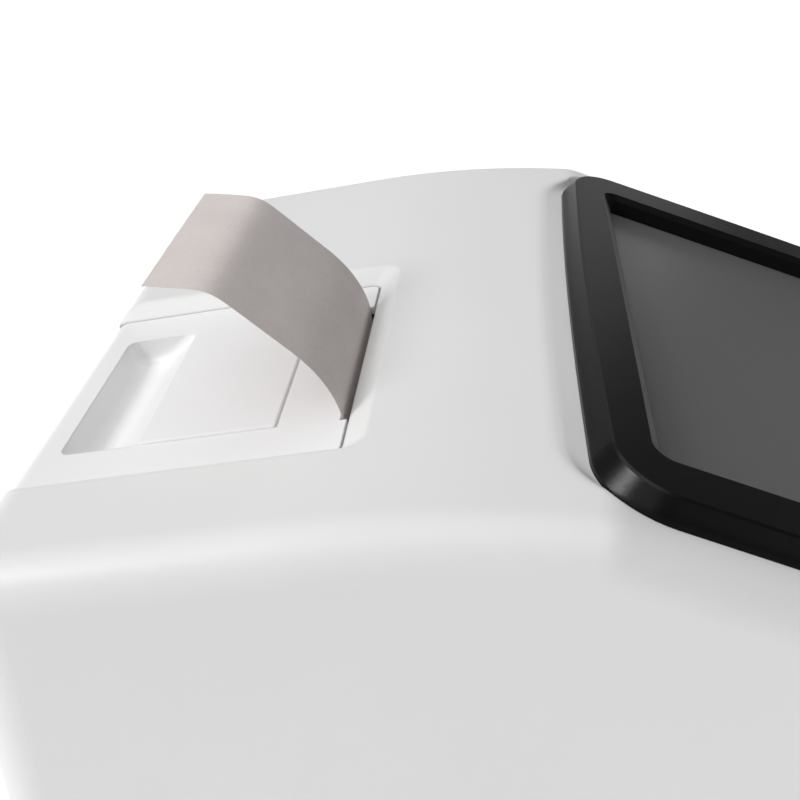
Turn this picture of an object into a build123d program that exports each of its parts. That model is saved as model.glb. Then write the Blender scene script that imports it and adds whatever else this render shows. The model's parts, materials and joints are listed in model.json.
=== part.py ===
from build123d import *
import os
from math import cos, hypot, pi, radians, sin, sqrt, tan

# Bench urine analyzer in millimetres. X is the user's right, +Y the rear, +Z up.
# The origin is on the table, under the middle of the casing.

# Casing
casing_width = 212.0
casing_depth = 276.0
ridge_height = 147.2
wall = 2.5
corner_radius = 14.0
top_edge_radius = 10.0
rear_slope = 11.6
ridge_radius = 280.0
ridge_from_rear = 97.5
display_tilt = 18.0
brow_radius = 16.0
brow_from_rear = 133.8
front_lean = 12.0
front_break_height = 76.0
front_break_radius = 60.0
split_height = 36.0
lip_height = 3.0
lip_wall = 1.2
lip_gap = 0.25
seam_height = 0.8
seam_depth = 0.7
foot_height = 4.0
foot_radius = 8.0
foot_seat = 1.2
foot_inset = 26.0

# Screws, all pan heads: radius of the shank, of the head, and the head's height
screw_radius = 1.5
head_radius = 2.75
head_height = 2.0
boss_radius = 4.0
small_screw_radius = 1.0
small_head_radius = 1.9
casing_screw_inset = 15.0
casing_screw_length = 34.0

# Printer recess and cover, measured in the cover's own sloping frame
recess_depth = 3.9
recess_wall_angle = 30.0
recess_crease = 5.0
recess_side_share = 0.65
recess_floor_corner = 2.8
recess_corner_growth = 0.35
notch_from_rear = 77.0
cover_offset = -25.5
cover_width = 85.2
cover_wall = 2.2
cover_gap = 0.3
cover_front_gap = 0.6
cover_corner = 2.4
cover_edge = 5.0
cover_lip = 11.0
notch_width = 58.2
notch_depth = 0.8
paper_front_gap = 1.4
ledge_width = 4.0
ledge_wall = 2.8
seat_gap = 0.2
scoop_wall = 1.6
pan_margin = 10.0
tongue_reach = 1.4
tongue_height = 1.0
scoop_width = 57.6
scoop_depth = 6.8
scoop_rear = 70.1
scoop_corner = 2.5
pad_rear = 49.8
pad_front = 16.0
pad_height = 0.6

# Display, measured in its own sloping frame, which lies a little under the front slope
display_from_rear = 125.3
display_height = 148.0
bezel_width = 184.0
bezel_rear_gap = 4.3
bezel_corner = 16.0
bezel_bow = 1.8
bezel_side_bow = 0.6
bezel_seat = 1.2
bezel_seat_run = 1.3
bezel_rise = 5.3
bezel_facet = 2.2
bezel_side_frame = 17.5
bezel_rear_frame = 14.8
dish_from_rear = 122.5
dish_round = 1.7
dish_side_share = 0.33
dish_corner_growth = 1.2
dish_backing = 8.0
bezel_front_frame = 17.5
bezel_gap = 0.3
opening_length = 96.0
opening_corner = 3.0
opening_chamfer = 1.4
opening_chamfer_run = 2.2
screen_depth = 5.6
glass_wall = 1.8
glass_margin = 4.0
lcd_wall = 5.6
lcd_margin = 2.0
skirt_wall = 2.0
bracket_wall = 1.0
display_gap = 0.2

# Paper and print mechanism
paper_width = 57.0
paper_wall = 0.3
roll_radius = 21.0
core_radius = 7.0
core_wall = 1.5
spindle_radius = 5.4
journal_radius = 3.0
running_gap = 0.06
roll_drop = 36.0
roll_back = 34.0
platen_radius = 5.0
platen_shaft_radius = 1.5
platen_back = 4.6
platen_drop = 13.0
tub_wall = 2.0
tub_gap = 2.0
tub_half_width = 35.5
tub_front = 16.0
tub_floor_drop = 50.5
tub_flange = 2.0
tub_flange_half = 50.5
chassis_wall = 1.2
chassis_half_width = 29.6
gear_module = 0.5
platen_teeth = 28
idler_teeth = 32
idler_pinion_teeth = 12
printer_pinion_teeth = 10
gear_width = 1.8
idler_angle = -105.0
printer_motor_angle = -130.0
printer_motor_radius = 6.5
printer_motor_length = 15.0
bush_radius = 2.6
idler_pin_radius = 1.0
head_fins = 4
head_depth = 4.5
spring_wall = 0.4
strip_gap = 0.35

# Strip tray, its guide and drive
tray_width = 56.0
tray_length = 152.0
tray_floor_height = 44.0
tray_floor = 2.4
tray_rim = 7.0
tray_rim_wall = 2.0
front_width = 66.0
front_height = 26.0
front_wall = 3.2
front_corner = 3.0
tray_gap = 0.6
runner_reach = 1.8
runner_height = 2.0
runner_gap = 0.3
guide_wall = 2.4
guide_front = 5.0
guide_length = 156.0
rack_module = 1.0
rack_teeth = 33
rack_width = 5.0
rack_offset = 20.0
rack_gear_teeth = 16
rack_gear_from_front = 61.0
drive_module = 0.8
reduction_teeth = 36
drive_pinion_teeth = 12
drive_gear_width = 4.0
drive_shaft_radius = 2.0
drive_motor_radius = 12.5
drive_motor_length = 15.0
bracket_half_length = 14.0
bracket_standoff = 4.0
web_wall = 2.4
shaft_bush_radius = 3.4
insert_margin = 0.3
insert_height = 3.4
channel_width = 12.0
channel_depth = 2.2
channel_length = 112.0
tile_length = 9.0

# Reading head
head_width = 52.0
head_length = 44.0
optics_height = 24.0
optics_gap = 1.6
optics_from_front = 62.0
window_width = 18.0
window_length = 26.0
window_wall = 1.5

# Main board and rear ports
board_middle = -15.0
board_width = 136.0
board_length = 88.0
board_wall = 1.6
board_standoff = 5.0
board_rear_gap = 3.0
port_gap = 0.3
bay_depth = 4.0
bay_left = -50.0
bay_right = 80.0
bay_floor = 8.0
bay_top = 33.0
jack_bore = 2.8
jack_x = 46.0
switch_x = 66.0
usb_x = 12.0
flat_port_x = 29.0
serial_x = -24.0
rocker_half_width = 4.6
rocker_swing = 20.0
vent_count = 5
vent_width = 3.0
vent_length = 22.0
vent_pitch = 9.0
vent_start = -20.0

# Places worked out from the sizes above
rear_y = casing_depth / 2
front_y = -casing_depth / 2
half_width = casing_width / 2
gear_gap = 0.1
hole_gap = 0.1


def block(x0, x1, y0, y1, z0, z1):
    """A box between two opposite corners"""
    return Pos((x0 + x1) / 2, (y0 + y1) / 2, (z0 + z1) / 2) * Box(abs(x1 - x0), abs(y1 - y0), abs(z1 - z0))


def rod(axis, radius, start, end, u, v):
    """A round bar along an axis, from start to end, at the two other coordinates u and v"""
    bar = Cylinder(radius, abs(end - start))
    middle = (start + end) / 2
    if axis == "x":
        return Pos(middle, u, v) * Rot(0, 90, 0) * bar
    if axis == "y":
        return Pos(u, middle, v) * Rot(90, 0, 0) * bar
    return Pos(u, v, middle) * bar


def joined(pieces):
    """One solid, or one group, out of a list of pieces"""
    whole = pieces[0]
    for piece in pieces[1:]:
        whole += piece
    return whole


def closed_face(*lines):
    """A face inside a ring of lines and arcs"""
    return make_face(Wire([edge for line in lines for edge in line.edges()]))


def screw(length, radius=screw_radius, head_reach=head_radius):
    """A pan-head screw with its shank along -Z from the head's underside at the origin"""
    head = Pos(0, 0, head_height / 2) * Cylinder(head_reach, head_height)
    head = fillet(head.edges().group_by(Axis.Z)[-1], head_height * 0.4)
    slot = Pos(0, 0, head_height) * Box(head_reach * 1.3, 0.8, head_height * 0.9)
    return head + Pos(0, 0, -length / 2) * Cylinder(radius, length) - slot


def slab(width, length, height, radius):
    """A rounded plate on the XY plane, centred"""
    return extrude(RectangleRounded(width, length, radius), height)


def gear(module, teeth, width, x, y, z, tooth_angle, bore):
    """A spur gear on an axis along X, starting at x, with one tooth at tooth_angle from +Y to +Z"""
    pitch_radius = module * teeth / 2
    step = 2 * pi / teeth
    points = []
    for index in range(teeth):
        middle = radians(tooth_angle) + index * step
        for radius, share in ((-1.25, -0.28), (1.0, -0.10), (1.0, 0.10), (-1.25, 0.28)):
            angle = middle + share * step
            reach = pitch_radius + radius * module
            points.append((reach * cos(angle), reach * sin(angle)))
    blank = make_face(Polyline(points, close=True)) - Circle(bore)
    return Plane(origin=(x, y, z), x_dir=(0, 1, 0), z_dir=(1, 0, 0)) * extrude(blank, width)


def mesh_angle(angle, teeth):
    """The tooth angle of a gear whose gap has to face back along angle"""
    return angle + 180 + 180 / teeth


# Frames of the sloping surfaces
rear_top_z = ridge_height - ridge_from_rear * tan(radians(rear_slope))
brow_y = rear_y - brow_from_rear
notch_y = rear_y - notch_from_rear
notch_z = rear_top_z + notch_from_rear * tan(radians(rear_slope)) - recess_depth / cos(radians(rear_slope))
cover_frame = Plane(
    origin=(cover_offset, notch_y, notch_z),
    x_dir=(1, 0, 0),
    z_dir=(0, sin(radians(rear_slope)), cos(radians(rear_slope))),
)
display_frame = Plane(
    origin=(0, rear_y - display_from_rear, display_height),
    x_dir=(1, 0, 0),
    z_dir=(0, -sin(radians(display_tilt)), cos(radians(display_tilt))),
)

# Places in the cover's frame
cover_rear = notch_from_rear / cos(radians(rear_slope))
cover_half = cover_width / 2
recess_half = cover_half + cover_gap
ledge_half = cover_half - ledge_width
seat_z = -cover_wall - seat_gap
pan_bottom = seat_z - ledge_wall
pan_half = recess_half + pan_margin
pan_front = -paper_front_gap - pan_margin
lip_drop = cover_lip + cover_gap * 2

# Places in the display's frame
bezel_length = bezel_rear_frame + opening_length + bezel_front_frame
bezel_middle = -bezel_rear_gap - bezel_length / 2
opening_width = bezel_width - 2 * bezel_side_frame
opening_middle = -bezel_rear_gap - bezel_rear_frame - opening_length / 2
glass_top = bezel_rise - screen_depth
glass_width = opening_width + 2 * glass_margin
glass_length = opening_length + 2 * glass_margin
skirt_width = glass_width + 2 * (display_gap + skirt_wall)
skirt_length = glass_length + 2 * (display_gap + skirt_wall)
lcd_top = glass_top - glass_wall - display_gap
lcd_bottom = lcd_top - lcd_wall
bracket_top = lcd_bottom - display_gap
post_x = (skirt_width + bezel_width) / 4 - 1
post_y = opening_length / 2 - 12
bezel_posts = [(sx * post_x, opening_middle + sy * post_y) for sx in (-1, 1) for sy in (-1, 1)]

# Places on the floor of the casing
base_top = foot_height + wall
casing_screw_seat = foot_height + 8
casing_screw_spots = [
    (side * (half_width - casing_screw_inset), y)
    for side in (-1, 1)
    for y in (front_y + casing_screw_inset, rear_y - casing_screw_inset)
]
foot_spots = [
    (side * (half_width - foot_inset), y)
    for side in (-1, 1)
    for y in (front_y + foot_inset + 6, rear_y - foot_inset - 6)
]
tray_opening_half = front_width / 2 + tray_gap
tray_opening_top = split_height + front_height + 2 * tray_gap
bay_wall_y = rear_y - bay_depth


def on_cover(*pieces):
    """Pieces drawn in the cover's frame, put in place"""
    return joined([cover_frame * piece for piece in pieces])


def on_display(*pieces):
    """Pieces drawn in the display's frame, put in place"""
    return joined([display_frame * piece for piece in pieces])


def casing_profile():
    """The side outline of the whole casing"""
    lean = tan(radians(front_lean))
    fall = tan(radians(display_tilt))
    rise = ridge_height - front_break_height
    top_y = (front_y + lean * (rise - fall * brow_y)) / (1 - lean * fall)
    corners = [
        (rear_y, foot_height, 0),
        (rear_y, rear_top_z, 0),
        (rear_y - ridge_from_rear, ridge_height, ridge_radius),
        (brow_y, ridge_height, brow_radius),
        (top_y, ridge_height - fall * (brow_y - top_y), 0),
        (front_y, front_break_height, front_break_radius),
        (front_y, foot_height, 0),
    ]
    points = [(y, z) for y, z, _ in corners]
    return make_face(FilletPolyline(points, radius=[radius for _, _, radius in corners], close=True))


def casing_form(inset):
    """The whole casing as one rounded solid, set in all round by inset"""
    outline = casing_profile()
    if inset:
        outline = offset(outline, -inset, kind=Kind.INTERSECTION)
    body = extrude(Plane.YZ * outline, amount=half_width - inset, both=True)
    upright = [edge for edge in body.edges() if abs(edge.tangent_at(0.5).Z) > 0.9]
    body = fillet(upright, corner_radius - inset)
    borders = {}
    for face in body.faces():
        if face.normal_at().Z > 0.5:
            for edge in face.edges():
                spot = edge.center()
                borders.setdefault((round(spot.X, 3), round(spot.Y, 3), round(spot.Z, 3)), []).append(edge)
    rim = [edges[0] for edges in borders.values() if len(edges) == 1]
    return fillet(rim, top_edge_radius - inset)


def layer(z0, z1):
    """Everything between two heights"""
    return block(-casing_width, casing_width, -casing_depth, casing_depth, z0, z1)


outer_form = casing_form(0)
inner_form = casing_form(wall)


def recess_cut():
    """The soft-walled recess of the printer, open at the rear"""
    steep = radians(recess_wall_angle)
    straight_rise = recess_depth - recess_crease * (1 - cos(steep))
    straight_run = straight_rise / tan(steep)
    steps = [(0, 0), (straight_rise, straight_run)]
    last_slope = 0.15
    for share in (0.7, 0.4, last_slope):
        turn = steep * share
        rise = recess_depth - recess_crease * (1 - cos(turn))
        steps.append((rise, straight_run + recess_crease * (sin(steep) - sin(turn))))
    over = recess_depth * 0.1
    steps.append((steps[-1][0] + over, steps[-1][1] + over / tan(steep * last_slope)))
    rear = cover_rear + 60

    def section(height, spread):
        front = -paper_front_gap - spread
        corner = recess_floor_corner + spread * recess_corner_growth
        outline = RectangleRounded(2 * (recess_half + spread * recess_side_share), rear - front, corner)
        return Pos(0, (front + rear) / 2, height) * outline

    return loft([section(height, spread) for height, spread in steps], ruled=True)


def bowed_outline(half_x, half_y, corner):
    """A rounded rectangle whose four sides bow slightly outward"""
    corner_x = half_x - bezel_side_bow
    corner_y = half_y - bezel_bow
    outline = closed_face(
        ThreePointArc((-corner_x, -corner_y), (0, -half_y), (corner_x, -corner_y)),
        ThreePointArc((corner_x, -corner_y), (half_x, 0), (corner_x, corner_y)),
        ThreePointArc((corner_x, corner_y), (0, half_y), (-corner_x, corner_y)),
        ThreePointArc((-corner_x, corner_y), (-half_x, 0), (-corner_x, -corner_y)),
    )
    return fillet(outline.vertices(), corner)


def bezel_outline(spread, height):
    """The bezel's rounded outline, grown by spread, at a height in the display's frame"""
    outline = bowed_outline(bezel_width / 2 + spread, bezel_length / 2 + spread, bezel_corner + spread)
    return Pos(0, bezel_middle, height) * outline


def opening_outline(spread, height):
    """The display opening's rounded outline, grown by spread"""
    outline = RectangleRounded(opening_width + 2 * spread, opening_length + 2 * spread,
                               opening_corner + spread)
    return Pos(0, opening_middle, height) * outline


def seat_cut():
    """The dished seat that the bezel lies in"""
    over = 3.0
    share = over / bezel_seat
    floor = bezel_outline(bezel_gap, -bezel_seat)
    mouth = bezel_outline(bezel_gap + bezel_seat_run * (1 + share), over)
    return loft([floor, mouth], ruled=True)


def dish_cut():
    """The dish behind the bezel, where the casing's top bends down to the seat"""
    base = display_frame.from_local_coords(Vector(0, -bezel_rear_gap, -bezel_seat))
    front = display_frame.from_local_coords(Vector(0, -bezel_rear_gap - bezel_length, -bezel_seat))
    rim_y = rear_y - dish_from_rear
    fall = (ridge_height - base.Z) / (rim_y - base.Y)
    sections = [display_frame * bezel_outline(bezel_gap, -bezel_seat)]
    steps = [
        (-dish_round, -dish_round * fall),
        (0, -dish_round * fall / 4),
        (dish_round, -0.02),
        (dish_round + 2.0, 0.3),
    ]
    for back, rise in steps:
        reach = rim_y + back - base.Y
        half_y = (rim_y + back - front.Y) / 2
        outline = bowed_outline(bezel_width / 2 + reach * dish_side_share, half_y,
                                bezel_corner + reach * dish_corner_growth)
        sections.append(Pos(0, rim_y + back - half_y, ridge_height + rise) * outline)
    return loft(sections, ruled=True)


def casing_boss(x, y):
    """A screw boss that hangs from the top of the upper casing to the split"""
    boss = rod("z", boss_radius, split_height, ridge_height, x, y) & casing_form(wall / 2)
    return boss - rod("z", screw_radius + hole_gap, split_height - 1, split_height + 14, x, y)


def upper_casing():
    """Moulded top shell with the printer recess and the display seat"""
    pan = on_cover(block(-pan_half, pan_half, pan_front, cover_rear + 30, pan_bottom, recess_depth + 20))
    shell = outer_form - inner_form + (pan & outer_form)
    for x, y in casing_screw_spots:
        shell += casing_boss(x, y)
    seat_pan = extrude(bezel_outline(dish_backing, -bezel_seat - wall), bezel_seat + wall)
    shell += on_display(seat_pan) & outer_form
    groove_half = cover_half + tongue_reach + cover_gap
    pocket = block(-recess_half, recess_half, -paper_front_gap, cover_rear + 30, seat_z, 0.01)
    shell -= on_cover(recess_cut())
    shell -= on_cover(
        block(-ledge_half, ledge_half, -paper_front_gap, cover_rear - wall - 0.5, -40, 1),
        fillet(pocket.edges().filter_by(Axis.Z).group_by(Axis.Y)[0], recess_floor_corner),
        block(-groove_half, groove_half, 4, cover_rear + 30, seat_z, tongue_height - cover_wall + seat_gap),
        block(-recess_half, recess_half, cover_rear - wall - 0.6, cover_rear + 30, -lip_drop, 0.01),
    )
    shell -= on_display(seat_cut())
    shell -= dish_cut()
    hole = slab(skirt_width + 2 * bezel_gap, skirt_length + 2 * bezel_gap, 40, 2)
    shell -= on_display(Pos(0, opening_middle, -20) * hole)
    for x, y in bezel_posts:
        shell -= on_display(rod("z", boss_radius, -20, 0, x, y))
    for x, y in tub_screw_spots:
        shell -= on_cover(rod("z", screw_radius + hole_gap, pan_bottom - 1, pan_bottom + 5, x, y))
    shell -= block(-tray_opening_half, tray_opening_half, front_y - 1, front_y + wall + 1, 0,
                   tray_opening_top)
    return shell - layer(-1, split_height)


tub_screw_spots = [(sx * (tub_flange_half - 3), y) for sx in (-1, 1) for y in (-4, 54)]


def lower_casing():
    """Moulded base with its lip, screw wells, standoffs, vents and the bay of the rear ports"""
    shell = (outer_form - inner_form) & layer(0, split_height)
    lip_outer = casing_form(wall + lip_gap)
    lip_inner = casing_form(wall + lip_gap + lip_wall)
    ring = (lip_outer - lip_inner) & layer(split_height - 0.1, split_height + lip_height)
    root_ring = (inner_form - lip_inner) & layer(split_height - 4, split_height)
    shell += ring + root_ring
    shell -= (outer_form - casing_form(seam_depth)) & layer(split_height - seam_height, split_height)
    bay_block = block(bay_left - wall, bay_right + wall, bay_wall_y - wall, rear_y - wall / 2,
                      bay_floor - wall, split_height)
    shell += bay_block & outer_form & layer(foot_height, split_height)
    for x, y in casing_screw_spots:
        shell += rod("z", boss_radius + 1.5, foot_height + 1, split_height, x, y) & outer_form
    for x, y in guide_screw_spots + head_screw_spots:
        shell += rod("z", boss_radius, base_top - 1, guide_bottom, x, y)
    for x, y in board_screw_spots:
        shell += rod("z", boss_radius - 0.5, base_top - 1, base_top + board_standoff, x, y)
    for x, y in bracket_screw_spots:
        shell += rod("z", boss_radius, base_top - 1, base_top + bracket_standoff, x, y)
    for x, y in foot_spots:
        shell += rod("z", foot_radius + 1.5, foot_height + 1, base_top + 1, x, y)
        shell -= rod("z", foot_radius + 0.1, foot_height - 1, foot_height + foot_seat, x, y)
    shell -= block(bay_left, bay_right, bay_wall_y, rear_y + 10, bay_floor, bay_top)
    shell -= block(-tray_opening_half, tray_opening_half, front_y + wall, front_y + 2 * wall + 1,
                   split_height - 0.1, split_height + 9)
    shell -= port_holes()
    for x, y in casing_screw_spots:
        shell -= rod("z", screw_radius + hole_gap, 0, split_height + 9, x, y)
        shell -= rod("z", head_radius + 0.5, 0, casing_screw_seat, x, y)
    for x, y in guide_screw_spots + head_screw_spots:
        shell -= rod("z", screw_radius + hole_gap, guide_bottom - 10, guide_bottom + 1, x, y)
    for x, y in board_screw_spots + bracket_screw_spots:
        shell -= rod("z", screw_radius + hole_gap, base_top, guide_bottom, x, y)
    for row in range(vent_count):
        y = vent_start + row * vent_pitch
        for side in (-1, 1):
            slot = slab(vent_length, vent_width, 3 * wall, vent_width / 2 - 0.01)
            shell -= Pos(side * (vent_length / 2 + 8), y, foot_height - wall) * slot
    return shell


def rubber_feet():
    """Four round feet in their seats"""
    feet = []
    for x, y in foot_spots:
        foot = rod("z", foot_radius, 0, foot_height + foot_seat, x, y)
        feet.append(fillet(foot.edges().group_by(Axis.Z)[0], 1.0))
    return feet


def casing_screws():
    """The four screws that hold the casing together from below"""
    screw_up = Rot(180, 0, 0) * screw(casing_screw_length)
    return [Pos(x, y, casing_screw_seat) * screw_up for x, y in casing_screw_spots]


def display_bezel():
    """Black frame with its facets, the display opening and a skirt that holds the glass"""
    low = bezel_outline(0, -bezel_seat)
    edge = bezel_outline(0, -bezel_seat + 1.0)
    facet = bezel_outline(-bezel_facet, bezel_rise - 0.4)
    top = bezel_outline(-bezel_facet - 0.6, bezel_rise)
    body = loft([low, edge, facet, top], ruled=True)
    body += Pos(0, opening_middle, bracket_top) * slab(skirt_width, skirt_length, -bracket_top, 2)
    for x, y in bezel_posts:
        body += rod("z", boss_radius - 0.4, bracket_top, 0, x, y)
    body -= loft([opening_outline(0, bezel_rise - opening_chamfer),
                  opening_outline(opening_chamfer_run, bezel_rise + 0.001)])
    body -= extrude(opening_outline(0, glass_top - 5), bezel_rise - glass_top + 10 - opening_chamfer)
    pocket = slab(glass_width + 2 * display_gap, glass_length + 2 * display_gap, 20, 0.8)
    body -= Pos(0, opening_middle, glass_top - 20) * pocket
    for x, y in bezel_posts:
        body -= rod("z", screw_radius + hole_gap, bracket_top - 1, bracket_top + 7, x, y)
    return on_display(body)


def touch_glass():
    """The touch panel, against the ledge behind the bezel's opening"""
    plate = slab(glass_width, glass_length, glass_wall, 0.6)
    return on_display(Pos(0, opening_middle, glass_top - glass_wall) * plate)


def lcd_module():
    """The display panel in its metal tray"""
    length = glass_length - 2 * lcd_margin
    panel = slab(glass_width - 2 * lcd_margin, length, lcd_wall, 0.8)
    window = slab(opening_width - 4, opening_length - 4, 1, 0.4)
    body = Pos(0, opening_middle, lcd_bottom) * panel - Pos(0, opening_middle, lcd_top - 0.4) * window
    return on_display(body)


def display_bracket():
    """Sheet frame that closes the bezel's skirt from behind"""
    sheet = slab(2 * post_x + 10, skirt_length, bracket_wall, 3)
    window = slab(opening_width * 0.6, opening_length * 0.5, 3 * bracket_wall, 4)
    body = sheet - Pos(0, 0, -bracket_wall) * window
    body = Pos(0, opening_middle, bracket_top - bracket_wall) * body
    for x, y in bezel_posts:
        body -= rod("z", screw_radius + hole_gap, bracket_top - 5, bracket_top + 1, x, y)
    return on_display(body)


def bezel_screws():
    """The four screws that hold the bracket and the bezel"""
    screw_up = Pos(0, 0, bracket_top - bracket_wall) * Rot(180, 0, 0) * screw(6)
    return [display_frame * Pos(x, y, 0) * screw_up for x, y in bezel_posts]


# Free end of the paper, from the notch line: how far back and how far up
paper_curl = [(0.1, 0), (4.6, 9.2), (10.5, 16), (17, 21.3), (23.5, 26.4), (28, 29.4), (32, 30.5), (43.5, 31)]

# Places of the print mechanism
scoop_half = scoop_width / 2
roll_y = notch_y + roll_back
roll_z = notch_z - roll_drop
platen_y = notch_y + platen_back
platen_z = notch_z - platen_drop
paper_y = platen_y - platen_radius - running_gap
head_y = paper_y - paper_wall - gear_gap
tub_radius = roll_radius + tub_gap
tub_rear = roll_back + tub_radius
chassis_foot_z = notch_z - tub_floor_drop + 14
chassis_top_z = notch_z - 6.5
chassis_rear = notch_y + 9
chassis_front = notch_y - 13
gear_x = cover_offset + chassis_half_width + chassis_wall + 0.4
idler_reach = gear_module * (platen_teeth + idler_pinion_teeth) / 2 + gear_gap
idler_y = platen_y + idler_reach * cos(radians(idler_angle))
idler_z = platen_z + idler_reach * sin(radians(idler_angle))
pinion_reach = gear_module * (idler_teeth + printer_pinion_teeth) / 2 + gear_gap
printer_motor_y = idler_y + pinion_reach * cos(radians(printer_motor_angle))
printer_motor_z = idler_z + pinion_reach * sin(radians(printer_motor_angle))
second_gear_x = gear_x + gear_width + 0.3
platen_half = paper_width / 2 + 0.1
spindle_half = tub_half_width - 2


def printer_cover():
    """Sliding cover with its finger scoop, raised pad, paper notch, side tongues and rear lip"""
    front = notch_y + cover_front_gap - paper_front_gap
    slope = tan(radians(rear_slope))

    def skin(depth):
        rear = rear_y - depth
        top = notch_z - depth / cos(radians(rear_slope))
        low = notch_z - notch_from_rear * slope - cover_lip - depth
        radius = max(cover_edge - depth, 0.5)
        corners = [
            (front - 5, top + (notch_y - front + 5) * slope),
            (rear, top - (rear - notch_y) * slope),
            (rear, low),
            (front - 5, low),
        ]
        outline = FilletPolyline(corners, radius=[0, radius, 0, 0], close=True)
        return extrude(Plane.YZ * make_face(outline), amount=cover_half, both=True)

    body = Pos(cover_offset, 0, 0) * (skin(0) - skin(cover_wall))
    limit = block(-cover_half, cover_half, cover_front_gap - paper_front_gap, cover_rear + 30, -60, 5)
    body &= on_cover(fillet(limit.edges().filter_by(Axis.Z).group_by(Axis.Y)[0], cover_corner))
    tongue_top = tongue_height - cover_wall
    tongue = cover_half + tongue_reach
    body += on_cover(block(-tongue, tongue, 6, cover_rear - 8, -cover_wall, tongue_top))
    well = block(-scoop_half - scoop_wall, scoop_half + scoop_wall, pad_rear - scoop_wall,
                 scoop_rear + scoop_wall,
                 -scoop_depth - scoop_wall, -cover_wall / 2)
    body += on_cover(fillet(well.edges().filter_by(Axis.X).group_by(Axis.Z)[0], 3.0))
    body -= on_cover(scoop_cut())
    pad = slab(scoop_width, pad_rear - pad_front, pad_height + 0.5, 0.6)
    pad = chamfer(pad.edges().group_by(Axis.Z)[-1], pad_height * 0.6)
    body += on_cover(Pos(0, (pad_rear + pad_front) / 2, -0.5) * pad)
    body -= on_cover(block(-notch_width / 2, notch_width / 2, -10, notch_depth, -cover_wall * 3, 5))
    return body


def scoop_cut():
    """The hollow of the finger scoop: steep at the rear, rising forward to the pad"""
    points = [
        (scoop_rear, 3),
        (scoop_rear - 0.8, -scoop_depth),
        (scoop_rear - 10.0, -scoop_depth),
        (pad_rear, -0.4),
        (pad_rear, 3),
    ]
    profile = make_face(FilletPolyline(points, radius=[0, 4.5, 12.0, 0, 0], close=True))
    hollow = extrude(Plane.YZ * profile, amount=scoop_half, both=True)
    rounded = [
        edge for edge in hollow.edges()
        if abs(abs(edge.center().X) - scoop_half) < 0.01 and pad_rear + 0.1 < edge.center().Y
        and edge.center().Z < 1
    ]
    return fillet(rounded, scoop_corner)


def paper_tub():
    """Bucket for the paper roll, hung under the recess by its flange"""
    left = cover_offset - tub_half_width
    right = cover_offset + tub_half_width
    top = notch_z + 10

    def bucket(grow):
        radius = tub_radius + grow
        rear = notch_y + roll_back + radius
        front = notch_y - tub_front - grow
        floor = notch_z - tub_floor_drop - grow
        return (
            rod("x", radius, left - grow, right + grow, roll_y, roll_z)
            + block(left - grow, right + grow, front, rear, roll_z, top)
            + block(left - grow, right + grow, front, roll_y, floor, roll_z + 1)
        )

    under = on_cover(block(-100, 100, -100, 200, -100, pan_bottom))
    body = (bucket(tub_wall) - bucket(0)) & under
    ring = block(-tub_flange_half, tub_flange_half, -9, tub_rear + 6, pan_bottom - tub_flange, pan_bottom)
    ring -= block(-tub_half_width, tub_half_width, -8 + tub_wall, tub_rear + 6 - tub_wall, -30, 0)
    body += on_cover(ring)
    for side in (-1, 1):
        inner = cover_offset + side * (chassis_half_width + chassis_wall + 0.3)
        wall_x = cover_offset + side * (tub_half_width + tub_wall / 2)
        shelf = block(inner, wall_x, chassis_front - 0.5, chassis_rear - 0.5, chassis_foot_z - 2,
                      chassis_foot_z)
        cheek_x = cover_offset + side * (paper_width / 2 + 1.5)
        cheek = block(cheek_x, wall_x, roll_y - 6, roll_y + 6, roll_z - tub_radius - 0.5, roll_z + 4)
        body += shelf + cheek
    body -= rod("x", journal_radius + running_gap, left - 0.2, right + 0.2, roll_y, roll_z)
    slot_half = journal_radius + running_gap
    body -= block(left - 0.2, right + 0.2, roll_y - slot_half, roll_y + slot_half, roll_z, roll_z + 5)
    scoop_room = block(-scoop_half - 3, scoop_half + 3, pad_rear - 4, 200, -scoop_depth - scoop_wall - 0.8, 5)
    body -= on_cover(scoop_room)
    for x, y in tub_screw_spots:
        body -= on_cover(rod("z", screw_radius + hole_gap, pan_bottom - 5, pan_bottom + 1, x, y))
    for x, y in chassis_screw_spots:
        body -= rod("z", small_screw_radius + hole_gap, chassis_foot_z - 5, chassis_foot_z + 1, x, y)
    return body


chassis_screw_x = chassis_half_width + chassis_wall + small_head_radius + 0.3
chassis_screw_spots = [
    (cover_offset + side * chassis_screw_x, y)
    for side in (-1, 1)
    for y in (chassis_rear - 4.5, chassis_front + 4.5)
]


def tub_screws():
    """The four screws that hold the tub up under the recess"""
    top = pan_bottom - tub_flange
    return [cover_frame * Pos(x, y, top) * Rot(180, 0, 0) * screw(6) for x, y in tub_screw_spots]


def printer_chassis():
    """Bent steel frame of the print mechanism"""
    left = cover_offset - chassis_half_width - chassis_wall
    right = cover_offset + chassis_half_width + chassis_wall
    body = block(left, right, chassis_front, chassis_rear, chassis_foot_z, chassis_top_z)
    body -= block(left + chassis_wall, right - chassis_wall, chassis_front + chassis_wall,
                  chassis_rear + 1, 0, 200)
    foot = 2 * small_head_radius + 0.4
    body += block(left - foot, right + foot, chassis_front, chassis_rear, chassis_foot_z,
                  chassis_foot_z + chassis_wall)
    body -= block(left + chassis_wall, right - chassis_wall, chassis_front + chassis_wall,
                  chassis_rear + 1, 0, 200)
    body -= rod("x", bush_radius + hole_gap, left - 1, right + 1, platen_y, platen_z)
    body -= rod("x", 4, right - 3, right + 1, printer_motor_y, printer_motor_z)
    body -= rod("x", idler_pin_radius + hole_gap, right - 3, right + 1, idler_y, idler_z)
    for x, y in chassis_screw_spots:
        body -= rod("z", small_screw_radius + hole_gap, chassis_foot_z - 1, chassis_foot_z + 3, x, y)
    return body


def chassis_screws():
    """The four screws of the mechanism's feet"""
    made = screw(4, small_screw_radius, small_head_radius)
    return [Pos(x, y, chassis_foot_z + chassis_wall) * made for x, y in chassis_screw_spots]


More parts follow.
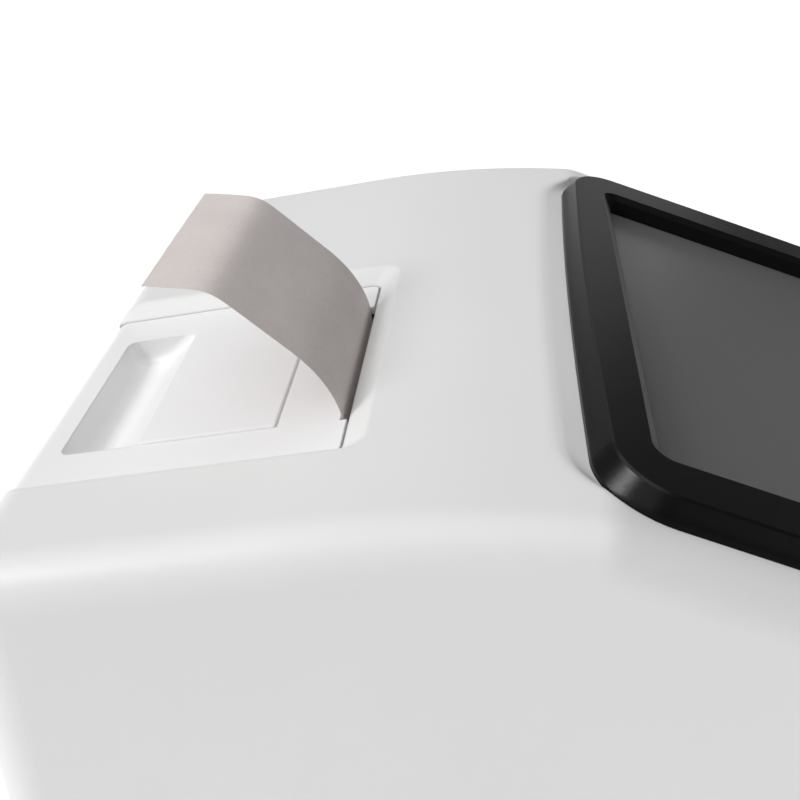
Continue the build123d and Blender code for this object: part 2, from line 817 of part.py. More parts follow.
def platen_bushes():
    """A bush in each side plate"""
    bushes = []
    for side in (-1, 1):
        inner = cover_offset + side * (chassis_half_width - 0.4)
        outer = cover_offset + side * (chassis_half_width + chassis_wall + 0.2)
        bush = rod("x", bush_radius, inner, outer, platen_y, platen_z)
        bushes.append(bush - rod("x", platen_shaft_radius + running_gap, inner - 5, outer + 5,
                                 platen_y, platen_z))
    return bushes


def platen_shaft():
    """Steel shaft of the feed roller"""
    return rod("x", platen_shaft_radius, cover_offset - chassis_half_width - 2, gear_x + gear_width,
               platen_y, platen_z)


def platen_roller():
    """Rubber sleeve that feeds the paper"""
    sleeve = rod("x", platen_radius, cover_offset - platen_half, cover_offset + platen_half, platen_y,
                 platen_z)
    return sleeve - rod("x", platen_shaft_radius, -casing_width, casing_width, platen_y, platen_z)


def platen_gear():
    """Gear at the end of the feed roller"""
    return gear(gear_module, platen_teeth, gear_width, gear_x, platen_y, platen_z, idler_angle,
                platen_shaft_radius)


def idler_gear():
    """Reduction gear: a large wheel and a small pinion in one piece"""
    bore = idler_pin_radius + running_gap
    small = gear(gear_module, idler_pinion_teeth, gear_width + 0.3, gear_x, idler_y, idler_z,
                 mesh_angle(idler_angle, idler_pinion_teeth), bore)
    large = gear(gear_module, idler_teeth, gear_width, second_gear_x, idler_y, idler_z,
                 printer_motor_angle, bore)
    return small + large


def idler_pin():
    """Pin of the reduction gear, riveted to the side plate"""
    right = cover_offset + chassis_half_width
    return rod("x", idler_pin_radius, right, second_gear_x + gear_width + 0.2, idler_y, idler_z)


def printer_pinion():
    """Motor pinion on its shaft"""
    pinion = gear(gear_module, printer_pinion_teeth, gear_width, second_gear_x, printer_motor_y,
                  printer_motor_z,
                  mesh_angle(printer_motor_angle, printer_pinion_teeth), 0.3)
    start = cover_offset + chassis_half_width - 4
    return pinion + rod("x", 1.0, start, second_gear_x + gear_width, printer_motor_y, printer_motor_z)


def printer_motor():
    """Small stepper motor on the inside of the right side plate"""
    right = cover_offset + chassis_half_width
    can = rod("x", printer_motor_radius, right - printer_motor_length, right, printer_motor_y,
              printer_motor_z)
    collar = rod("x", 3, right, right + chassis_wall, printer_motor_y, printer_motor_z)
    return can + collar - rod("x", 1.0 + running_gap, right - 5, right + 5, printer_motor_y, printer_motor_z)


def print_head():
    """Thermal head: ceramic strip on a finned heat sink"""
    low = notch_z - 19
    half = chassis_half_width - 0.3
    plate = block(cover_offset - half, cover_offset + half, head_y - 1.8, head_y, low, chassis_top_z)
    for index in range(head_fins):
        z = low + 1 + index * (chassis_top_z - low - 3) / (head_fins - 1)
        plate += block(cover_offset - half, cover_offset + half, head_y - head_depth, head_y - 1, z, z + 1)
    return plate


def head_spring():
    """Leaf spring between the front wall and the head"""
    wall_y = chassis_front + chassis_wall
    tip_y = head_y - head_depth
    z = platen_z
    bow = (wall_y, z + 5), (tip_y - spring_wall, z), (wall_y, z - 5)
    back = (wall_y, z - 5 - spring_wall), (tip_y, z), (wall_y, z + 5 + spring_wall)
    edges = [
        ThreePointArc(*bow).edge(),
        Line(bow[2], back[0]).edge(),
        ThreePointArc(*back).edge(),
        Line(back[2], bow[0]).edge(),
    ]
    leaf = extrude(Plane.YZ * make_face(Wire(edges)), amount=10, both=True)
    return Pos(cover_offset, 0, 0) * leaf


def roll_spindle():
    """Spindle through the roll, with a journal at each end"""
    half = paper_width / 2 + 0.4
    body = rod("x", spindle_radius, cover_offset - half, cover_offset + half, roll_y, roll_z)
    return body + rod("x", journal_radius, cover_offset - spindle_half, cover_offset + spindle_half,
                      roll_y, roll_z)


def paper_core():
    """Cardboard core of the roll"""
    half = paper_width / 2
    tube = rod("x", core_radius, cover_offset - half, cover_offset + half, roll_y, roll_z)
    return tube - rod("x", core_radius - core_wall, -casing_width, casing_width, roll_y, roll_z)


def paper_roll():
    """The wound paper"""
    half = paper_width / 2
    roll = rod("x", roll_radius, cover_offset - half, cover_offset + half, roll_y, roll_z)
    return roll - rod("x", core_radius, -casing_width, casing_width, roll_y, roll_z)


def paper_strip():
    """Paper from the roll, round the feed roller, up through the notch and curling back"""
    roll_reach = roll_radius + strip_gap
    platen_reach = platen_radius + running_gap
    across = hypot(platen_y - roll_y, platen_z - roll_z)
    along = ((platen_y - roll_y) / across, (platen_z - roll_z) / across)
    share = (roll_reach - platen_reach) / across
    side = sqrt(1 - share * share)
    normal = (share * along[0] - side * along[1], share * along[1] + side * along[0])
    middle = (normal[0] - 1, normal[1])
    middle = (middle[0] / hypot(*middle), middle[1] / hypot(*middle))
    curl = [(notch_y + back, notch_z + up) for back, up in paper_curl]

    def at(y, z, reach, way):
        return (y + reach * way[0], z + reach * way[1])

    def chain(grow, rising):
        start = at(roll_y, roll_z, roll_reach + grow, normal)
        touch = at(platen_y, platen_z, platen_reach + grow, normal)
        front = (platen_y - platen_reach - grow, platen_z)
        bend = at(platen_y, platen_z, platen_reach + grow, middle)
        return [
            Line(start, touch),
            ThreePointArc(touch, bend, front),
            Line(front, (front[0], rising[0][1])),
            Spline(rising, tangents=[(0, 1), (1, 0)]),
        ], start, rising[-1]

    rising = [(platen_y - platen_reach, notch_z - 6)] + curl
    inner_curve = Spline(rising, tangents=[(0, 1), (1, 0)])
    outer_points = []
    for index in range(10):
        spot = inner_curve.position_at(index / 9)
        way = inner_curve.tangent_at(index / 9)
        outer_points.append((spot.X - way.Y * paper_wall, spot.Y + way.X * paper_wall))
    inner, inner_start, inner_end = chain(0, rising)
    outer, outer_start, outer_end = chain(paper_wall, outer_points)
    face = closed_face(*inner, *outer, Line(inner_start, outer_start), Line(inner_end, outer_end))
    return Pos(cover_offset, 0, 0) * extrude(Plane.YZ * face, amount=paper_width / 2, both=True)


# Places of the strip tray and its drive
tray_bottom = tray_floor_height
tray_half = tray_width / 2
rack_body = 1.6
rack_pitch_z = tray_bottom - rack_body - 1.25 * rack_module
rack_gear_y = front_y + rack_gear_from_front
rack_gear_z = rack_pitch_z - rack_module * rack_gear_teeth / 2 - gear_gap
guide_top = tray_bottom - 0.4
guide_bottom = guide_top - guide_wall
guide_inner = tray_half + runner_reach + runner_gap
guide_outer = guide_inner + guide_wall
runner_top = tray_bottom + runner_height
ear_x = guide_outer + 4.0
ear_half = 5.0
guide_screw_spots = [(side * ear_x, front_y + y) for side in (-1, 1) for y in (30, 146)]
head_screw_spots = [(side * ear_x, front_y + 100) for side in (-1, 1)]
shaft_web_spots = (rack_offset - rack_width / 2 - 1.6 - web_wall, rack_offset + rack_width / 2 + 1.6)
drive_gear_x = guide_outer + 1.6
drive_reach = drive_module * (reduction_teeth + drive_pinion_teeth) / 2 + gear_gap
drive_motor_y = rack_gear_y + drive_reach
bracket_x = drive_gear_x + drive_gear_width + 1.4
bracket_wall_x = 1.4
bracket_foot = base_top + bracket_standoff
bracket_screw_spots = [(bracket_x + 9, drive_motor_y + side * (bracket_half_length - 4)) for side in (-1, 1)]
tray_front_z = split_height + tray_gap
insert_half = tray_half - tray_rim_wall - insert_margin
insert_front = front_y + front_wall + 1.0
insert_rear = insert_front + channel_length + 14
insert_bottom = tray_bottom + tray_floor
insert_top = insert_bottom + insert_height


def strip_tray():
    """Drawer with its front, rims, side runners and the rack under its floor"""
    rear = front_y + tray_length
    body = block(-tray_half, tray_half, front_y + front_wall / 2, rear, tray_bottom, tray_bottom + tray_floor)
    rim = block(-tray_half, tray_half, front_y + front_wall / 2, rear, tray_bottom, tray_bottom + tray_rim)
    hollow_half = tray_half - tray_rim_wall
    rim -= block(-hollow_half, hollow_half, front_y, rear - tray_rim_wall, tray_bottom,
                 tray_bottom + tray_rim + 1)
    body += rim
    runner = tray_half + runner_reach
    body += block(-runner, runner, front_y + wall + 6, rear, tray_bottom, runner_top)
    front = slab(front_width, front_height, front_wall, front_corner)
    front = Pos(0, front_y, tray_front_z + front_height / 2) * Rot(-90, 0, 0) * front
    front = chamfer(front.edges().group_by(Axis.Y)[0], 0.8)
    groove = rod("x", 5.0, -front_width / 2 + 8, front_width / 2 - 8, front_y - 3.2, tray_front_z + 1.2)
    body += front - groove
    return body + rack()


def rack():
    """Rack teeth that point down, with a gap over the rack gear"""
    pitch = pi * rack_module
    middle = rack_gear_y + pitch * round((rack_teeth - 1) / 2 - 2) - pitch / 2
    low = rack_pitch_z - rack_module
    root = tray_bottom - rack_body
    half = rack_width / 2
    ends = rack_teeth * pitch / 2
    points = [(middle + ends, tray_bottom + 0.5), (middle - ends, tray_bottom + 0.5), (middle - ends, root)]
    for index in range(rack_teeth):
        y = middle + (index - (rack_teeth - 1) / 2) * pitch
        points += [(y - 0.28 * pitch, root), (y - 0.10 * pitch, low), (y + 0.10 * pitch, low),
                   (y + 0.28 * pitch, root)]
    points.append((middle + ends, root))
    profile = make_face(Polyline(points, close=True))
    return Pos(rack_offset, 0, 0) * extrude(Plane.YZ * profile, amount=half, both=True)


def strip_insert():
    """Lift-out insert with the channel that the test strip lies in"""
    body = block(-insert_half, insert_half, insert_front, insert_rear, insert_bottom, insert_top)
    body = fillet(body.edges().filter_by(Axis.Z), 2)
    channel = block(-channel_width / 2, channel_width / 2, insert_front + 6,
                    insert_front + 6 + channel_length,
                    insert_top - channel_depth, insert_top + 1)
    body -= channel
    for side in (-1, 1):
        gutter = block(side * (channel_width / 2 + 3), side * (insert_half - 3), insert_front + 6,
                       insert_front + 6 + channel_length, insert_top - channel_depth * 0.6, insert_top + 1)
        body -= fillet(gutter.edges().filter_by(Axis.Z), 2)
    notch = rod("x", 7, -channel_width, channel_width, insert_front + 9, insert_top + 3.6)
    return body - notch


def white_reference():
    """White calibration tile behind the insert"""
    start = insert_rear + 1
    tile = block(-channel_width, channel_width, start, start + tile_length, insert_bottom, insert_top - 0.4)
    return chamfer(tile.edges().group_by(Axis.Z)[-1], 0.4)


def tray_guide():
    """Channel that the tray slides in, with the webs of the geared shaft"""
    start = front_y + guide_front
    end = start + guide_length
    body = block(-guide_outer, guide_outer, start, end, guide_bottom, guide_top)
    for side in (-1, 1):
        body += block(side * guide_inner, side * guide_outer, start, end, guide_bottom,
                      runner_top + 2 + runner_gap)
        lip_inner = side * (tray_half + runner_gap)
        body += block(lip_inner, side * guide_outer, start + 2, end, runner_top + runner_gap,
                      runner_top + 2 + runner_gap)
    body -= block(rack_offset - rack_width / 2 - 0.6, rack_offset + rack_width / 2 + 0.6, start - 1,
                  end - 4, 0, guide_top + 1)
    for x, y in guide_screw_spots + head_screw_spots:
        edge = guide_outer - 0.5 if x > 0 else 0.5 - guide_outer
        body += block(edge, x + (ear_half if x > 0 else -ear_half) * 0.84, y - ear_half, y + ear_half,
                      guide_bottom, guide_top)
        body -= rod("z", screw_radius + hole_gap, guide_bottom - 1, guide_top + 1, x, y)
    for x in shaft_web_spots:
        web = block(x, x + web_wall, rack_gear_y - 8, rack_gear_y + 8, rack_gear_z - 6, guide_bottom + 0.5)
        body += web
        body -= rod("x", shaft_bush_radius + hole_gap, x - 1, x + web_wall + 1, rack_gear_y, rack_gear_z)
    return body


def guide_screws():
    """The screws that hold the guide to the base"""
    return [Pos(x, y, guide_top) * screw(9) for x, y in guide_screw_spots]


def drive_shaft():
    """Steel shaft under the tray"""
    return rod("x", drive_shaft_radius, shaft_web_spots[0] - 2, drive_gear_x + drive_gear_width + 0.6,
               rack_gear_y, rack_gear_z)


def shaft_bushes():
    """Bushes of the drive shaft in the two webs"""
    bushes = []
    for x in shaft_web_spots:
        bush = rod("x", shaft_bush_radius, x - 0.3, x + web_wall + 0.3, rack_gear_y, rack_gear_z)
        bushes.append(bush - rod("x", drive_shaft_radius + running_gap, x - 3, x + web_wall + 3,
                                 rack_gear_y, rack_gear_z))
    return bushes


def rack_gear():
    """Gear that drives the rack"""
    x = rack_offset - rack_width / 2
    return gear(rack_module, rack_gear_teeth, rack_width, x, rack_gear_y, rack_gear_z, 90, drive_shaft_radius)


def reduction_gear():
    """Large gear at the end of the drive shaft"""
    return gear(drive_module, reduction_teeth, drive_gear_width, drive_gear_x, rack_gear_y,
                rack_gear_z, 0, drive_shaft_radius)


def drive_pinion():
    """Pinion on the stepper motor's shaft"""
    pinion = gear(drive_module, drive_pinion_teeth, drive_gear_width, drive_gear_x, drive_motor_y,
                  rack_gear_z,
                  mesh_angle(0, drive_pinion_teeth), 0.5)
    return pinion + rod("x", 1.5, drive_gear_x, bracket_x + 6, drive_motor_y, rack_gear_z)


def drive_motor():
    """Stepper motor on its bracket"""
    start = bracket_x + bracket_wall_x
    can = rod("x", drive_motor_radius, start, start + drive_motor_length, drive_motor_y, rack_gear_z)
    can = fillet(can.edges().group_by(Axis.X)[-1], 0.8)
    collar = rod("x", 4.5, bracket_x, start, drive_motor_y, rack_gear_z)
    return can + collar - rod("x", 1.5 + running_gap, bracket_x - 1, start + 8, drive_motor_y, rack_gear_z)


def motor_bracket():
    """Bent sheet bracket of the stepper motor"""
    low = bracket_foot
    half = bracket_half_length
    plate = block(bracket_x, bracket_x + bracket_wall_x, drive_motor_y - half, drive_motor_y + half, low,
                  rack_gear_z + drive_motor_radius)
    plate -= rod("x", 4.5 + hole_gap, bracket_x - 1, bracket_x + 3, drive_motor_y, rack_gear_z)
    foot = block(bracket_x, bracket_x + 16, drive_motor_y - half, drive_motor_y + half, low,
                 low + bracket_wall_x)
    body = plate + foot
    for x, y in bracket_screw_spots:
        body -= rod("z", screw_radius + hole_gap, low - 1, low + 3, x, y)
    return body


def bracket_screws():
    """The two screws of the motor bracket"""
    return [Pos(x, y, bracket_foot + bracket_wall_x) * screw(5) for x, y in bracket_screw_spots]


# Places of the reading head
optics_y = front_y + optics_from_front
optics_z = tray_bottom + tray_rim + optics_gap
optics_half = head_width / 2


def optical_head():
    """Reading head that stands over the tray on two legs"""
    body = block(-optics_half, optics_half, optics_y, optics_y + head_length, optics_z,
                 optics_z + optics_height)
    body = fillet(body.edges().group_by(Axis.Z)[-1], 3)
    middle = optics_y + head_length / 2
    body -= block(-window_width / 2, window_width / 2, middle - window_length / 2, middle + window_length / 2,
                  optics_z - 1, optics_z + optics_height * 0.6)
    rebate_x = window_width / 2 + 1.5
    rebate_y = window_length / 2 + 1.5
    body -= block(-rebate_x, rebate_x, middle - rebate_y, middle + rebate_y, optics_z - 1,
                  optics_z + window_wall)
    for x, y in head_screw_spots:
        side = 1 if x > 0 else -1
        outer = x + side * ear_half * 0.84
        body += block(side * (optics_half - 1), outer, y - ear_half, y + ear_half, optics_z, optics_z + 3)
        body += block(side * (guide_outer + 0.6), outer, y - ear_half, y + ear_half, guide_top, optics_z + 1)
        body -= rod("z", head_radius + 0.4, guide_top + 3, optics_z + 10, x, y)
        body -= rod("z", screw_radius + hole_gap, guide_top - 1, optics_z, x, y)
    return body


def sensor_window():
    """Window of the reading head"""
    middle = optics_y + head_length / 2
    half_x = window_width / 2 + 1.3
    half_y = window_length / 2 + 1.3
    return block(-half_x, half_x, middle - half_y, middle + half_y, optics_z + 0.1, optics_z + window_wall)


def head_screws():
    """The two screws of the reading head"""
    return [Pos(x, y, guide_top + 3) * screw(12) for x, y in head_screw_spots]


# Places of the main board and the ports
board_rear = bay_wall_y - wall - board_rear_gap
board_bottom = base_top + board_standoff
board_top = board_bottom + board_wall
board_screw_spots = [
    (board_middle + side * (board_width / 2 - 6), y)
    for side in (-1, 1)
    for y in (board_rear - 22, board_rear - board_length + 6)
]
port_front = rear_y - bay_depth + 0.6
switch_z = (bay_floor + bay_top) / 2
jack_z = board_top + 5.5


def main_board():
    """Circuit board with its larger parts"""
    left = board_middle - board_width / 2
    right = board_middle + board_width / 2
    body = block(left, right, board_rear - board_length, board_rear, board_bottom, board_top)
    body = fillet(body.edges().filter_by(Axis.Z), 2)
    for x, y, width, length, height in board_parts:
        body += block(x - width / 2, x + width / 2, board_rear - y - length / 2, board_rear - y + length / 2,
                      board_top - 0.1, board_top + height)
    for x, y in board_screw_spots:
        body -= rod("z", screw_radius + hole_gap, board_bottom - 1, board_top + 1, x, y)
    return body


# Larger parts on the board: x, distance from its rear edge, width, length, height
board_parts = [
    (-20, 50, 18, 18, 1.6),
    (8, 46, 14, 10, 1.4),
    (-48, 48, 8, 22, 7.0),
    (40, 60, 12, 12, 1.2),
    (30, 36, 6, 10, 5.0),
    (10, 72, 30, 5, 6.0),
]


def board_screws():
    """The four screws of the board"""
    return [Pos(x, y, board_top) * screw(5) for x, y in board_screw_spots]


def port_holes():
    """Holes of the rear ports through the wall of the bay"""
    holes = []
    for x, z, width, height in port_faces:
        grow = port_gap
        holes.append(block(x - width / 2 - grow, x + width / 2 + grow, bay_wall_y - wall - 1, bay_wall_y + 1,
                           z - height / 2 - grow, z + height / 2 + grow))
    return joined(holes)


port_faces = [
    (jack_x, jack_z, 9.0, 11.0),
    (switch_x, switch_z, 13.0, 19.6),
    (usb_x, board_top + 5.6, 12.0, 10.8),
    (flat_port_x, board_top + 3.9, 14.4, 7.4),
    (serial_x, board_top + 6.2, 17.0, 9.0),
]


def power_jack():
    """Low-voltage inlet with its centre pin"""
    x, z, width, height = port_faces[0]
    body = block(x - width / 2, x + width / 2, board_rear - 11, port_front, board_top, z + height / 2)
    body -= rod("y", jack_bore, port_front - 9.5, port_front + 1, x, z)
    return body + rod("y", 1.0, port_front - 10, port_front - 1, x, z)


def usb_ports():
    """A square and a flat socket, each with its tongue"""
    ports = []
    for x, z, width, height in port_faces[2:4]:
        shell = block(x - width / 2, x + width / 2, board_rear - 14, port_front, z - height / 2,
                      z + height / 2)
        shell += block(x - width / 2, x + width / 2, board_rear - 14, board_rear - 1, board_top, z)
        shell -= block(x - width / 2 + 0.6, x + width / 2 - 0.6, port_front - 10, port_front + 1,
                       z - height / 2 + 0.6, z + height / 2 - 0.6)
        tongue = block(x - width * 0.3, x + width * 0.3, port_front - 11, port_front - 1.2,
                       z - height * 0.14, z + height * 0.14)
        ports.append(shell + tongue)
    return ports


def serial_port():
    """Nine-pin port with its shell and jack posts"""
    x, z, width, height = port_faces[4]
    body = block(x - 15.4, x + 15.4, board_rear - 8, bay_wall_y - wall - 0.3, board_top, z + 6.2)
    shell = make_face(Polyline([(-8.4, 4.2), (8.4, 4.2), (7.2, -4.2), (-7.2, -4.2)], close=True))
    hollow = make_face(Polyline([(-7.7, 3.6), (7.7, 3.6), (6.6, -3.6), (-6.6, -3.6)], close=True))
    ring = extrude(shell - hollow, 6.0)
    pins = []
    for count, rise in ((5, 1.4), (4, -1.4)):
        for index in range(count):
            pins.append(Pos((index - (count - 1) / 2) * 2.7, rise, 2) * Cylinder(0.5, 5))
    face = Plane(origin=(x, bay_wall_y - wall - 0.4, z), x_dir=(-1, 0, 0), z_dir=(0, 1, 0))
    return body + face * ring + joined([face * pin for pin in pins])


def switch_body():
    """Frame of the power switch, snapped into the bay's wall"""
    x, z, width, height = port_faces[1]
    body = block(x - width / 2, x + width / 2, bay_wall_y - 17, bay_wall_y + 1, z - height / 2,
                 z + height / 2)
    flange = block(x - width / 2 - 1, x + width / 2 + 1, bay_wall_y, bay_wall_y + 1.4,
                   z - height / 2 - 1, z + height / 2 + 1)
    body += chamfer(flange.edges().group_by(Axis.Y)[-1], 0.5)
    body -= block(x - rocker_half_width - 0.3, x + rocker_half_width + 0.3, bay_wall_y - 9,
                  bay_wall_y + 5, z - 9.2, z + 9.2)
    return body - rod("x", 1.2 + running_gap, x - rocker_half_width - 1.1, x + rocker_half_width + 1.1,
                      bay_wall_y - 3.5, z)


def power_rocker():
    """Rocker of the power switch, resting on its off side"""
    x, z, width, height = port_faces[1]
    swing = radians(rocker_swing / 2)
    reach = 8.5
    depth = 6.0
    profile = make_face(Polyline([
        (depth * 0.95, 0), (depth * 0.95 - reach * tan(swing), reach), (-2.5, reach), (-2.5, -reach),
        (depth * 0.95 - reach * tan(swing), -reach)], close=True))
    body = extrude(Plane.YZ * profile, amount=rocker_half_width, both=True)
    body += rod("x", 1.2, -rocker_half_width - 0.9, rocker_half_width + 0.9, 0, 0)
    return Pos(x, bay_wall_y - 3.5, z) * Rot(-rocker_swing / 2, 0, 0) * body


nodes = {
    "upper_casing": upper_casing(),
    "lower_casing": lower_casing(),
    "rubber_feet": rubber_feet(),
    "casing_screws": casing_screws(),
    "display_bezel": display_bezel(),
    "touch_glass": touch_glass(),
    "lcd_module": lcd_module(),
    "display_bracket": display_bracket(),
    "bezel_screws": bezel_screws(),
    "printer_cover": printer_cover(),
    "paper_tub": paper_tub(),
    "tub_screws": tub_screws(),
    "printer_chassis": printer_chassis(),
    "chassis_screws": chassis_screws(),
    "platen_bushes": platen_bushes(),
    "platen_shaft": platen_shaft(),
    "platen_roller": platen_roller(),
    "platen_gear": platen_gear(),
    "idler_gear": idler_gear(),
    "idler_pin": idler_pin(),
    "printer_pinion": printer_pinion(),
    "printer_motor": printer_motor(),
    "print_head": print_head(),
    "head_spring": head_spring(),
    "roll_spindle": roll_spindle(),
    "paper_core": paper_core(),
    "paper_roll": paper_roll(),
    "paper_strip": paper_strip(),
    "strip_tray": strip_tray(),
    "strip_insert": strip_insert(),
    "white_reference": white_reference(),
    "tray_guide": tray_guide(),
    "guide_screws": guide_screws(),
    "drive_shaft": drive_shaft(),
    "shaft_bushes": shaft_bushes(),
    "rack_gear": rack_gear(),
    "reduction_gear": reduction_gear(),
    "drive_pinion": drive_pinion(),
    "drive_motor": drive_motor(),
    "motor_bracket": motor_bracket(),
    "bracket_screws": bracket_screws(),
    "optical_head": optical_head(),
    "sensor_window": sensor_window(),
    "head_screws": head_screws(),
    "main_board": main_board(),
    "board_screws": board_screws(),
    "power_jack": power_jack(),
    "usb_ports": usb_ports(),
    "serial_port": serial_port(),
    "switch_body": switch_body(),
    "power_rocker": power_rocker(),
}

os.makedirs("parts", exist_ok=True)
for name, made in nodes.items():
    if isinstance(made, list):
        made = Compound(children=[solid for piece in made for solid in piece.solids()])
    export_step(made, f"parts/{name}.step")
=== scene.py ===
import json
from math import cos, radians, sin

import bmesh
import bpy
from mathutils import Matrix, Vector


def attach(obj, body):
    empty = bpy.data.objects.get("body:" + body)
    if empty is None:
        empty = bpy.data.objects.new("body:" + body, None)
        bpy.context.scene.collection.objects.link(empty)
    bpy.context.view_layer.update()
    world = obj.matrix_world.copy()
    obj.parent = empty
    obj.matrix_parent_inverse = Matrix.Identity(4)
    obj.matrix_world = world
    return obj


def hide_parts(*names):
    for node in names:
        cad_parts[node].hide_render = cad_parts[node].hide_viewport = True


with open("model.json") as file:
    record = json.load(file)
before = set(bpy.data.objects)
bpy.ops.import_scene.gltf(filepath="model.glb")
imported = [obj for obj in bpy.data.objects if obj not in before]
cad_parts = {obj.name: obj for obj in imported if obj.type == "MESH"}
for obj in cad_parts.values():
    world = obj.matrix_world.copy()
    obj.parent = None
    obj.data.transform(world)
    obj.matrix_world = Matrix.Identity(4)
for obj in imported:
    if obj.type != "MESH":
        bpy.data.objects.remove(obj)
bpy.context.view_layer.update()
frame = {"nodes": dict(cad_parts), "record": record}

MM = 0.001

# Camera: the photo's viewpoint, solved from the machine's straight edges
EYE = Vector((-0.2662, 0.0295, 0.2709))
LOOK = Vector((0.8565, 0.0755, -0.5105))
FOCAL = 50.0
SENSOR = 36.0
NEAREST = 0.01

# Sizes of the printer and paper, as in the machine's drawing
NOTCH_Y = 61.0
NOTCH_Z = 139.011
COVER_X = -25.5
PAPER_WIDTH = 57.0

# Paper web, in the printer's own side view: y to the rear and z up, in millimetres. It stays straight up to
# CURL_START below the notch, and waves and tears a little from the share FREE_FROM of its length on.
ROLL = Vector((95.0, 103.011))
ROLL_REACH = 21.35
FEED = Vector((65.6, 126.011))
FEED_REACH = 5.06
CURL_START = 6
CURL = [(0.1, 0), (1.8, 4.8), (4.4, 9.3), (8.0, 13.7), (12.5, 17.5), (18.3, 22.2), (24.0, 27.0), (28.4, 30.3),
        (33.0, 30.8), (38.0, 30.9), (43.0, 31)]
PAPER_THICK = 0.12
EDGE_WAVE = 0.08
MIDDLE_WAVE = 0.04
TEAR = 0.12
TORN_CORNER = 0.3
FREE_FROM = 0.62

# Steps of the web's mesh: to the feed roller, round it, for each length of the curl, and across. Its edges
# stay sharp from SHARP_ANGLE degrees on.
ROLL_STEPS = 20
TURN_STEPS = 12
CURL_STEPS = 9
ACROSS = 28
SHARP_ANGLE = 50

# Plastic inside the ports, as x, y and z ranges: the two sockets' tongues and the nine-pin port's body
PORT_INSERTS = [
    ((8.3, 15.7), (122.0, 133.6), (17.14, 20.26)),
    ((24.6, 33.4), (122.0, 133.6), (15.91, 18.09)),
    ((-40.0, -8.0), (110.0, 131.3), (0.0, 40.0)),
]
INSERT_COLOUR = (0.03, 0.03, 0.034)

# Sockets of a Mix node that mixes colours
MIX_FACTOR = 0
MIX_FIRST = 6
MIX_SECOND = 7
MIX_COLOUR = 2

# Stage and light: the lamps face MIDDLE, and the room gives a faint light from all around
FLOOR_SIZE = 20
FLOOR_TONE = 0.8
FLOOR_GLOW = 0.36
ROOM_LIGHT = 0.06
MIDDLE = (0, 0.02, 0.1)


def new_material(name):
    """A new material and its shader"""
    mat = bpy.data.materials.new(name)
    mat.use_nodes = True
    return mat, mat.node_tree.nodes["Principled BSDF"]


def add(tree, kind, **values):
    """A node with some of its settings or input values given"""
    made = tree.nodes.new(kind)
    for key, value in values.items():
        if hasattr(made, key):
            setattr(made, key, value)
        else:
            made.inputs[key.replace("_", " ")].default_value = value
    return made


def wire(source, output, target, entry):
    """A link from one node's output to another's input"""
    target.id_data.links.new(source.outputs[output], target.inputs[entry])


def noise(mat, scale, detail, roughness=0.5, stretch=None):
    """Noise laid out in the piece's own coordinates, which stretch can scale along each axis"""
    tree = mat.node_tree
    place = add(tree, "ShaderNodeTexCoord")
    made = add(tree, "ShaderNodeTexNoise", Scale=scale, Detail=detail, Roughness=roughness)
    if stretch is None:
        wire(place, "Object", made, "Vector")
        return made
    mapping = add(tree, "ShaderNodeMapping", Scale=stretch)
    wire(place, "Object", mapping, "Vector")
    wire(mapping, "Vector", made, "Vector")
    return made


def uneven_gloss(source, shader, rough, low, high):
    """Roughness that follows a noise between two shares of its value"""
    span = add(shader.id_data, "ShaderNodeMapRange", To_Min=rough * low, To_Max=rough * high)
    wire(source, "Fac", span, "Value")
    wire(span, "Result", shader, "Roughness")


def uneven_tone(source, output, shader, colour, low, high, start=0.0, end=1.0):
    """Base colour that follows a noise between two shares of itself"""
    ramp = add(shader.id_data, "ShaderNodeValToRGB")
    first, last = ramp.color_ramp.elements
    first.position = start
    last.position = end
    first.color = (*[c * low for c in colour], 1)
    last.color = (*[min(1.0, c * high) for c in colour], 1)
    wire(source, output, ramp, "Fac")
    wire(ramp, "Color", shader, "Base Color")


def relief(source, shader, strength, distance):
    """A bump from a noise on the shader's normal"""
    bump = add(shader.id_data, "ShaderNodeBump", Strength=strength, Distance=distance)
    wire(source, "Fac", bump, "Height")
    wire(bump, "Normal", shader, "Normal")
    return bump


def plastic(name, colour, rough, grain=0.05, grain_size=0.9, tone=0.03, coat=0.0, specular=0.5, ease=0.0):
    """Moulded plastic: fine spark texture, faint tone changes and uneven gloss. Edges are shaded as round,
    with the radius ease in metres."""
    mat, shader = new_material(name)
    fine = noise(mat, scale=1000.0 / grain_size, detail=3.0, roughness=0.6)
    broad = noise(mat, scale=14.0, detail=3.0)
    uneven_tone(broad, "Fac", shader, colour, low=1 - tone, high=1 + tone, start=0.3, end=0.7)
    uneven_gloss(fine, shader, rough, low=0.88, high=1.12)
    bump = relief(fine, shader, strength=grain, distance=0.0002)
    if ease:
        soft = add(mat.node_tree, "ShaderNodeBevel", samples=4, Radius=ease)
        wire(soft, "Normal", bump, "Normal")
    shader.inputs["Coat Weight"].default_value = coat
    shader.inputs["Coat Roughness"].default_value = 0.25
    shader.inputs["Specular IOR Level"].default_value = specular
    return mat


def metal(name, colour, rough, stretch=(1, 1, 1)):
    """Plain or drawn metal with fine lines along one way"""
    mat, shader = new_material(name)
    lines = noise(mat, scale=900.0, detail=4.0, stretch=stretch)
    uneven_gloss(lines, shader, rough, low=0.75, high=1.3)
    uneven_tone(lines, "Fac", shader, colour, low=0.85, high=1.08)
    relief(lines, shader, strength=0.1, distance=0.0001)
    shader.inputs["Metallic"].default_value = 1.0
    return mat


def joined_nodes(operation, first, second):
    """Two number nodes worked into one, or the second alone where there is no first"""
    if first is None:
        return second
    both = add(second.id_data, "ShaderNodeMath", operation=operation)
    wire(first, "Value", both, 0)
    wire(second, "Value", both, 1)
    return both


